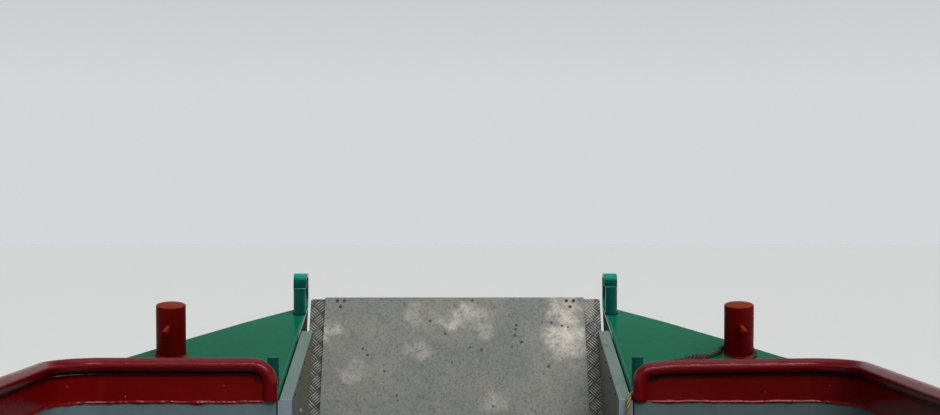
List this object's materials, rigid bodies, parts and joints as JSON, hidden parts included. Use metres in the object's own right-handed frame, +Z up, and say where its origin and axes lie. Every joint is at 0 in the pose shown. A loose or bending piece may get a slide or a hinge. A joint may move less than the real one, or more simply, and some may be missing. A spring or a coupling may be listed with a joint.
{
  "type": "narrowboat with a bow ramp",
  "caption": "Flat-bottomed steel canal boat with a blunt ramped bow, an open well with benches, a windowed cabin, a stern deck, tiller steering and a propeller.",
  "frame": {"origin": "under the middle of the baseplate, on the ground", "axes": "+Y towards the bow, +X to starboard, +Z up"},
  "size_m": [2.1, 13.738, 2.4923],
  "materials": {
    "hull_black": "matte",
    "deck_green": "satin",
    "teal_paint": "gloss",
    "red_paint": "gloss",
    "post_red": "satin",
    "pale_grey": "satin",
    "cheek_grey": "matte",
    "tread_plate": "worn five-bar tread",
    "ramp_board": "mottled grit",
    "cabin_green": "gloss",
    "roof_grey": "matte",
    "seat_wood": "satin",
    "brass": "polished",
    "dark_iron": "matte",
    "brown_rope": "laid",
    "gold_rope": "laid"
  },
  "bodies": {
    "hull": {"baseplate": "hull_black", "bow_rake": "hull_black", "stern_counter": "hull_black", "stern_swim": "hull_black", "skeg": "hull_black", "hull_side_right": "hull_black", "hull_side_left": "hull_black", "wing_body_right": "hull_black", "wing_body_left": "hull_black", "stern_deck": "deck_green", "wing_deck_right": "deck_green", "wing_deck_left": "deck_green", "bow_hoop_right": "teal_paint", "bow_hoop_left": "teal_paint", "deck_peg_right": "teal_paint", "deck_peg_left": "teal_paint", "stern_rail": "red_paint", "rail_right": "red_paint", "rail_left": "red_paint", "roof_handrail_right": "red_paint", "roof_handrail_left": "red_paint", "bollard_right": "post_red", "bollard_left": "post_red", "stern_bollard_right": "post_red", "stern_bollard_left": "post_red", "well_floor": "pale_grey", "coaming_right": "pale_grey", "coaming_left": "pale_grey", "cheek_right": "cheek_grey", "cheek_left": "cheek_grey", "front_bulkhead": "cabin_green", "rear_bulkhead": "cabin_green", "cabin_side_right": "cabin_green", "cabin_side_left": "cabin_green", "cabin_roof": "roof_grey", "cabin_floor": "seat_wood", "bench_right": "seat_wood", "bench_left": "seat_wood", "roof_vent_1": "brass", "roof_vent_2": "brass", "headlamp": "brass", "chimney": "dark_iron", "engine": "dark_iron", "brown_line": "brown_rope", "brown_line_coil": "brown_rope", "gold_line": "gold_rope", "gold_line_coil": "gold_rope"},
    "ramp": {"ramp_plate": "tread_plate", "ramp_panel": "ramp_board"},
    "front_door_right": {"front_door_right": "cabin_green"},
    "front_door_left": {"front_door_left": "cabin_green"},
    "rear_door_right": {"rear_door_right": "cabin_green"},
    "rear_door_left": {"rear_door_left": "cabin_green"},
    "hatch": {"roof_hatch": "red_paint"},
    "steering": {"rudder": "red_paint"},
    "screw": {"propeller": "brass"}
  },
  "joints": [
    {"name": "ramp_hinge", "type": "hinge", "parent": "hull", "child": "ramp", "pos_m": [0, 6.12789, 0.62234], "axis": [-1, 0, 0], "range_deg": [0, 65]},
    {"name": "front_door_right_hinge", "type": "hinge", "parent": "hull", "child": "front_door_right", "pos_m": [0.33, 1.91, 1.26], "axis": [0, 0, -1], "range_deg": [0, 100]},
    {"name": "front_door_left_hinge", "type": "hinge", "parent": "hull", "child": "front_door_left", "pos_m": [-0.33, 1.91, 1.26], "axis": [0, 0, 1], "range_deg": [0, 100]},
    {"name": "rear_door_right_hinge", "type": "hinge", "parent": "hull", "child": "rear_door_right", "pos_m": [0.33, -4.86, 1.49], "axis": [0, 0, 1], "range_deg": [0, 100]},
    {"name": "rear_door_left_hinge", "type": "hinge", "parent": "hull", "child": "rear_door_left", "pos_m": [-0.33, -4.86, 1.49], "axis": [0, 0, -1], "range_deg": [0, 100]},
    {"name": "hatch_slide", "type": "slide", "parent": "hull", "child": "hatch", "axis": [0, 1, 0], "range_m": [0, 0.6]},
    {"name": "rudder_turn", "type": "hinge", "parent": "hull", "child": "steering", "pos_m": [0, -6.56, 0.7], "axis": [0, 0, 1], "range_deg": [-38, 38]},
    {"name": "propeller_spin", "type": "hinge", "parent": "hull", "child": "screw", "pos_m": [0, -6.245, 0.245], "axis": [0, 1, 0], "continuous": true}
  ]
}
